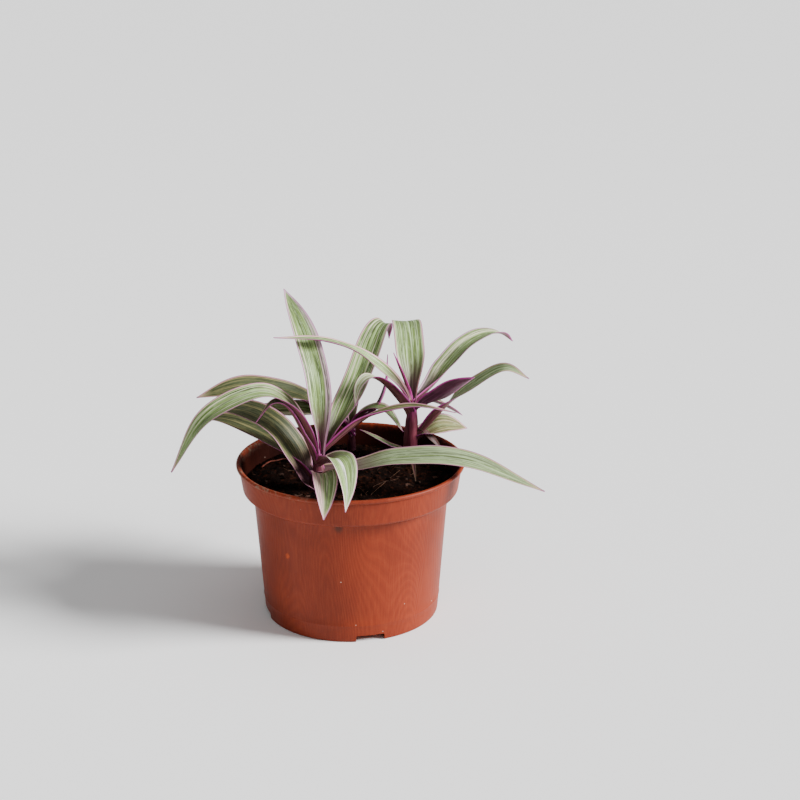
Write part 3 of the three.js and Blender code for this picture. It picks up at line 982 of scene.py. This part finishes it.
def veinNoise(tree, uv, seed, span, size, detail=3):
    # uneven marks that run along the blade: span and size are lengths and widths in mm
    laid = addNode(tree, "ShaderNodeMapping", {
        "Location": (seed * 3.7, seed * 1.9, 0), "Scale": (span[0] / size[0], span[1] / size[1], 1),
        "Vector": uv})
    return addNode(tree, "ShaderNodeTexNoise", {
        "Scale": 1, "Detail": detail, "Roughness": 0.6, "Vector": laid.outputs[0]}).outputs[0]


def livingLeaf(name, skin, seed, span):
    # the upper face: a thin wax over parallel veins, so it shines softly in long streaks
    material, tree, shader = newMaterial(name, {"IOR": 1.42, "Specular IOR Level": 0.28})
    uv = addNode(tree, "ShaderNodeTexCoord", {}).outputs["UV"]
    along, across, _ = addNode(tree, "ShaderNodeSeparateXYZ", {0: uv}).outputs
    fine, streak, patch, mottle, wander = [
        veinNoise(tree, uv, seed + index * 5, span, veins[kind])
        for index, kind in enumerate(("fine", "streak", "patch", "mottle", "wander"))]
    # the stripes wander a little: the noise is about 0.5, so a twentieth of it is taken off again
    moved = addNode(tree, "ShaderNodeMath", {
        "operation": "MULTIPLY_ADD", 0: wander, 1: 0.1, 2: across}).outputs[0]
    moved = addNode(tree, "ShaderNodeMath", {"operation": "SUBTRACT", 0: moved, 1: 0.05}).outputs[0]
    # in mm from the margin, so that the coloured rim keeps its width
    distance = addNode(tree, "ShaderNodeAttribute", {"attribute_name": "fromEdge"}).outputs["Fac"]
    uneven = addNode(tree, "ShaderNodeMath", {
        "operation": "MULTIPLY_ADD", 0: streak, 1: 0.5, 2: distance}).outputs[0]
    flushed = addNode(tree, "ShaderNodeMath", {
        "operation": "MULTIPLY_ADD", 0: streak, 1: 0.15, 2: along}).outputs[0]
    footEnds = skin["footEnds"]
    edge = skin["edge"]
    ramp = addNode(tree, "ShaderNodeValToRGB", {0: moved})
    # the coats in the shade colour are partly the blade's own dark veins and partly painted shade: dark
    # streaks and blotches that stand for shadow across the blade
    colour = layCoats(tree, paintStripes(ramp, skin), [
        (streak, 0.51, 0.57, 0.8, skin["shade"]),
        (patch, 0.52, 0.68, 0.4, skin["shade"]),
        (fine, 0.52, 0.58, 0.6, skin["shade"]),
        (fine, 0.45, 0.39, 0.7, skin["pale"]),
        (mottle, 0.5, 0.7, 0.3, skin["pale"]),
        (flushed, footEnds + 0.16, footEnds - 0.06, 0.8, skin["foot"]),
        (along, 0.9, 1, 0.8, skin["tip"]),
        (uneven, edge + 0.25, edge + 0.1, 0.95, skin["margin"]),
        (uneven, 0.66, 0.5, 0.9, skin["rim"]),
    ])
    gloss = addNode(tree, "ShaderNodeMapRange", {0: fine, 1: 0.3, 2: 0.7, 3: 0.34, 4: 0.52}).outputs[0]
    relief = addNode(tree, "ShaderNodeMath", {
        "operation": "MULTIPLY_ADD", 0: mottle, 1: 0.6, 2: fine}).outputs[0]
    bump = addNode(tree, "ShaderNodeBump", {
        "Strength": 0.7, "Distance": 0.22 * mm, "Height": relief}).outputs[0]
    setNode(tree, shader, {"Base Color": colour, "Roughness": gloss, "Normal": bump})
    return material


def purpleUnderside(name, skin, seed, span):
    # the lower face is coloured through by its purple sap, brighter along the margins
    material, tree, shader = newMaterial(name, {"IOR": 1.42, "Specular IOR Level": 0.35})
    uv = addNode(tree, "ShaderNodeTexCoord", {}).outputs["UV"]
    streak = veinNoise(tree, uv, seed, span, veins["streak"])
    fine = veinNoise(tree, uv, seed + 5, span, veins["fine"])
    patch = veinNoise(tree, uv, seed + 9, span, veins["patch"])
    distance = addNode(tree, "ShaderNodeAttribute", {"attribute_name": "fromEdge"}).outputs["Fac"]
    uneven = addNode(tree, "ShaderNodeMath", {
        "operation": "MULTIPLY_ADD", 0: streak, 1: 1.2, 2: distance}).outputs[0]
    colour = layCoats(tree, skin["ground"], [
        (patch, 0.4, 0.65, 0.7, skin["shade"]),
        (streak, 0.48, 0.64, 0.6, skin["shade"]),
        (fine, 0.48, 0.3, 0.6, skin["pale"]),
        (uneven, 1.6, 1.1, 0.9, skin["rim"]),
    ])
    gloss = addNode(tree, "ShaderNodeMapRange", {0: streak, 1: 0.3, 2: 0.7, 3: 0.38, 4: 0.55}).outputs[0]
    bump = addNode(tree, "ShaderNodeBump", {
        "Strength": 0.6, "Distance": 0.22 * mm, "Height": fine}).outputs[0]
    setNode(tree, shader, {"Base Color": colour, "Roughness": gloss, "Normal": bump})
    return material


def paleMargin(name, colour):
    # the rim is thin and almost without green
    return newMaterial(name, {"Base Color": colour, "Roughness": 0.45, "IOR": 1.42})[0]


stemShape = {
    "sides": 28,
    "buried": 12,
    "topBelowCrown": 7,
    # share of the height and of the radius: swollen old sheaths below, hidden in the crown above
    "outline": [(0.3, 1), (0.42, 1.12), (0.5, 0.96), (0.6, 1.02), (0.68, 0.86), (0.78, 0.9), (0.86, 0.7),
                (0.95, 0.6), (1, 0.3)],
}


def buildStem(name, rosette):
    foot, crown = Vector(rosette["foot"]), Vector(rosette["crown"])
    low = onStem(rosette, foot.z - stemShape["buried"])
    top = onStem(rosette, crown.z - stemShape["topBelowCrown"])
    radius = rosette["radius"]
    deselectAll()
    bpy.ops.mesh.primitive_circle_add(
        vertices=stemShape["sides"], radius=radius * mm, fill_type="NGON", location=inPlace(*low))
    piece = named(name)
    settle(piece)
    bpy.ops.object.mode_set(mode="EDIT")
    bpy.ops.mesh.select_all(action="SELECT")
    before, size = low, 1
    for share, wanted in stemShape["outline"]:
        centre = low.lerp(top, share)
        bpy.ops.mesh.extrude_region_move(TRANSFORM_OT_translate={"value": (centre - before) * mm})
        scale = wanted / size
        bpy.ops.transform.resize(value=(scale, scale, 1), center_override=inPlace(*centre))
        before, size = centre, wanted
    bpy.ops.mesh.select_all(action="SELECT")
    bpy.ops.mesh.normals_make_consistent(inside=False)
    bpy.ops.object.mode_set(mode="OBJECT")
    finishWith(piece, "SUBSURF", levels=1, render_levels=1)
    bpy.ops.object.shade_smooth()
    return piece


def sheathSkin():
    # old sheaths round the stem: magenta above, brown and drier towards the soil
    material, tree, shader = newMaterial(
        "purpleSheath", {"Roughness": 0.5, "IOR": 1.42, "Specular IOR Level": 0.3})
    metres = addNode(tree, "ShaderNodeTexCoord", {}).outputs["Object"]
    upright = addNode(tree, "ShaderNodeMapping", {"Scale": (1 / (0.7 * mm), 1 / (0.7 * mm), 1 / (16 * mm)),
                                                  "Vector": metres}).outputs[0]
    streaks = addNode(tree, "ShaderNodeTexNoise", {"Scale": 1, "Detail": 3, "Vector": upright}).outputs[0]
    height = addNode(tree, "ShaderNodeSeparateXYZ", {0: metres}).outputs[2]
    colour = layCoats(tree, "351420", [
        (height, 0.074, 0.09, 1, "6a2c3a"),
        (height, 0.095, 0.108, 0.8, "a02e76"),
        (streaks, 0.45, 0.66, 0.6, "2c1016"),
        (streaks, 0.45, 0.3, 0.4, "8a5a5c"),
    ])
    bump = addNode(tree, "ShaderNodeBump", {
        "Strength": 0.6, "Distance": 0.2 * mm, "Height": streaks}).outputs[0]
    setNode(tree, shader, {"Base Color": colour, "Normal": bump})
    return material


def growRosettes():
    purpleSheath = sheathSkin()
    margins = {}
    count = 0
    for side, rosette in rosettes.items():
        slot = f"foliage_{side}"
        stem = buildStem(f"stem_{side}", rosette)
        dress(stem, slot, purpleSheath)
        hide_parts(f"plant_{side}")
        for number, leaf in enumerate(rosette["leaves"], 1):
            count += 1
            skin = namedColours({**commonSkin, **skins[leaf["skin"]]})
            skin["stripes"] = drawnStripes(skin, count)
            skin["footEnds"] = leaf.get("footEnds", striping["footEnds"])
            if skin["rim"] not in margins:
                margins[skin["rim"]] = paleMargin(f"leafMargin{len(margins) + 1}", skin["rim"])
            span = (midrib(rosette, leaf)[2], leaf["width"])
            label = f"{side}_{number:02d}"
            under = leaf.get("under", "driedBrown" if leaf["skin"] == "driedLeaf" else "brownPurple")
            faces = [
                livingLeaf(f"{leaf['skin']}_{label}", skin, count, span),
                purpleUnderside(
                    f"{under}_{label}", namedColours(undersides[under]), count, span),
                margins[skin["rim"]],
            ]
            piece = buildLeaf(f"leaf_{label}", rosette, leaf, count, faces)
            dress(piece, slot)
            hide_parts(f"plant_{side}")
        print("rosette", side, "has", len(rosette["leaves"]), "leaves")


growRosettes()
